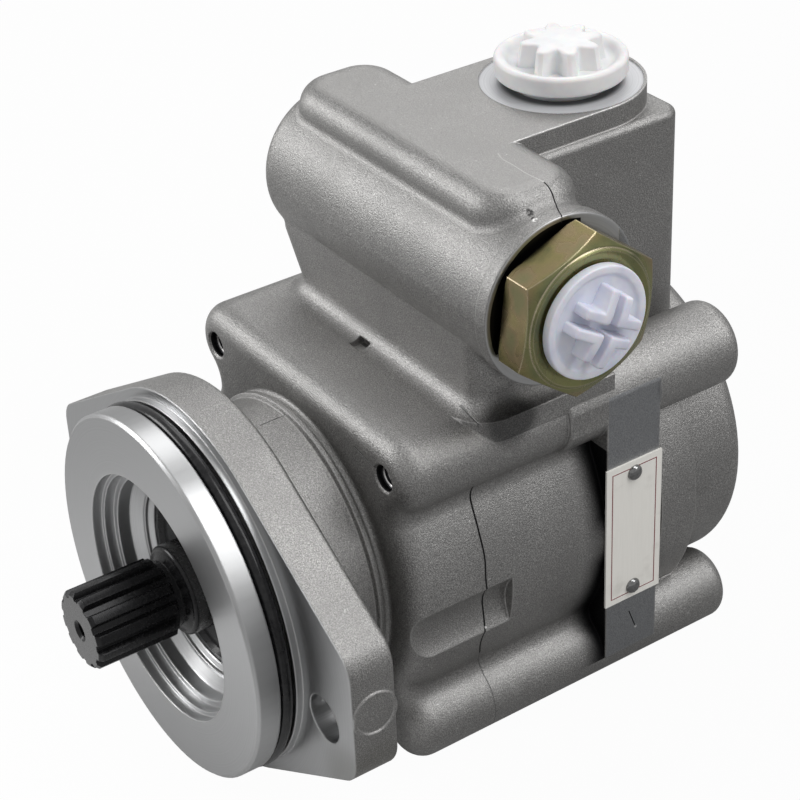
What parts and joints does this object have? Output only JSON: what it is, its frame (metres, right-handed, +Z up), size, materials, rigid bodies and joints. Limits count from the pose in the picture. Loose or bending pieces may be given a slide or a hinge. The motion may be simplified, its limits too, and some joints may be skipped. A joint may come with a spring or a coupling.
{
  "type": "power steering pump",
  "caption": "Vane pump for power steering with splined shaft, round pilot and lozenge bolt flange, cast body, cross valve barrel, top inlet and side outlet with plugs",
  "frame": {"origin": "on the shaft axis, in the plane of the flange's mounting face", "axes": "+Y along the shaft to the rear cover, +Z up to the inlet port, +X to the outlet and nameplate"},
  "size_m": [0.1503, 0.1836, 0.1729],
  "materials": {
    "cast_aluminium": "satin",
    "seal_rubber": "satin",
    "shaft_steel": "satin",
    "yellow_zinc": "gloss",
    "seal_steel": "satin",
    "cap_plastic": "satin",
    "plug_plastic": "satin",
    "plate_metal": "satin",
    "screw_steel": "gloss",
    "bearing_steel": "gloss",
    "spring_steel": "satin",
    "sintered_iron": "satin",
    "bronze": "satin",
    "cover_steel": "satin"
  },
  "bodies": {
    "housing_body": {"housing": "cast_aluminium", "pilot_o_ring": "seal_rubber", "shaft_seal": "seal_rubber", "outlet_fitting": "yellow_zinc", "outlet_fitting_seal": "seal_steel", "outlet_cap": "cap_plastic", "inlet_plug": "plug_plastic", "nameplate": "plate_metal", "nameplate_screws": "screw_steel", "bearing_outer_ring": "bearing_steel", "bearing_circlip": "spring_steel", "pressure_plate": "sintered_iron", "cam_ring": "sintered_iron", "side_plate": "sintered_iron", "dowel_pins": "bearing_steel", "pressure_plate_seal": "seal_rubber", "pressure_spring": "spring_steel", "rear_bush": "bronze", "rear_cover": "cover_steel", "rear_cover_seal": "seal_rubber", "rear_retaining_ring": "spring_steel", "flow_spring": "spring_steel"},
    "shaft_body": {"drive_shaft": "shaft_steel", "bearing_inner_ring": "bearing_steel", "rotor": "sintered_iron", "shaft_circlip": "spring_steel", "rotor_circlip": "spring_steel"},
    "cage_body": {"bearing_cage": "bearing_steel", "bearing_balls": "bearing_steel"},
    "spool_body": {"flow_spool": "bearing_steel", "relief_seat": "bearing_steel", "relief_spring": "spring_steel"},
    "relief_body": {"relief_ball": "bearing_steel"},
    "vane_01_body": {"vane_01": "bearing_steel"},
    "vane_02_body": {"vane_02": "bearing_steel"},
    "vane_03_body": {"vane_03": "bearing_steel"},
    "vane_04_body": {"vane_04": "bearing_steel"},
    "vane_05_body": {"vane_05": "bearing_steel"},
    "vane_06_body": {"vane_06": "bearing_steel"},
    "vane_07_body": {"vane_07": "bearing_steel"},
    "vane_08_body": {"vane_08": "bearing_steel"},
    "vane_09_body": {"vane_09": "bearing_steel"},
    "vane_10_body": {"vane_10": "bearing_steel"}
  },
  "joints": [
    {"name": "shaft_spin", "type": "hinge", "parent": "housing_body", "child": "shaft_body", "pos_m": [0, 0.0185, 0], "axis": [0, 1, 0], "continuous": true},
    {"name": "cage_spin", "type": "hinge", "parent": "housing_body", "child": "cage_body", "pos_m": [0, 0.0185, 0], "axis": [0, 1, 0], "continuous": true},
    {"name": "spool_slide", "type": "slide", "parent": "housing_body", "child": "spool_body", "axis": [1, 0, 0], "range_m": [-0.009, 0], "stiffness_N_per_m": 3000, "springref_m": 0.005, "deforming": ["flow_spring"]},
    {"name": "relief_slide", "type": "slide", "parent": "spool_body", "child": "relief_body", "axis": [1, 0, 0], "range_m": [0, 0.0006], "stiffness_N_per_m": 3000, "springref_m": -0.0005, "deforming": ["relief_spring"]},
    {"name": "vane_01_slide", "type": "slide", "parent": "shaft_body", "child": "vane_01_body", "axis": [1, 0, 0], "range_m": [-0.0025, 0]},
    {"name": "vane_02_slide", "type": "slide", "parent": "shaft_body", "child": "vane_02_body", "axis": [0.809, 0, -0.5878], "range_m": [-0.0025, 0]},
    {"name": "vane_03_slide", "type": "slide", "parent": "shaft_body", "child": "vane_03_body", "axis": [0.309, 0, -0.9511], "range_m": [-0.0025, 0]},
    {"name": "vane_04_slide", "type": "slide", "parent": "shaft_body", "child": "vane_04_body", "axis": [-0.309, 0, -0.9511], "range_m": [-0.0025, 0]},
    {"name": "vane_05_slide", "type": "slide", "parent": "shaft_body", "child": "vane_05_body", "axis": [-0.809, 0, -0.5878], "range_m": [-0.0025, 0]},
    {"name": "vane_06_slide", "type": "slide", "parent": "shaft_body", "child": "vane_06_body", "axis": [-1, 0, 0], "range_m": [-0.0025, 0]},
    {"name": "vane_07_slide", "type": "slide", "parent": "shaft_body", "child": "vane_07_body", "axis": [-0.809, 0, 0.5878], "range_m": [-0.0025, 0]},
    {"name": "vane_08_slide", "type": "slide", "parent": "shaft_body", "child": "vane_08_body", "axis": [-0.309, 0, 0.9511], "range_m": [-0.0025, 0]},
    {"name": "vane_09_slide", "type": "slide", "parent": "shaft_body", "child": "vane_09_body", "axis": [0.309, 0, 0.9511], "range_m": [-0.0025, 0]},
    {"name": "vane_10_slide", "type": "slide", "parent": "shaft_body", "child": "vane_10_body", "axis": [0.809, 0, 0.5878], "range_m": [-0.0025, 0]}
  ],
  "couplings": [
    {"joint": "cage_spin", "follows": "shaft_spin", "ratio": 0.3969}
  ]
}
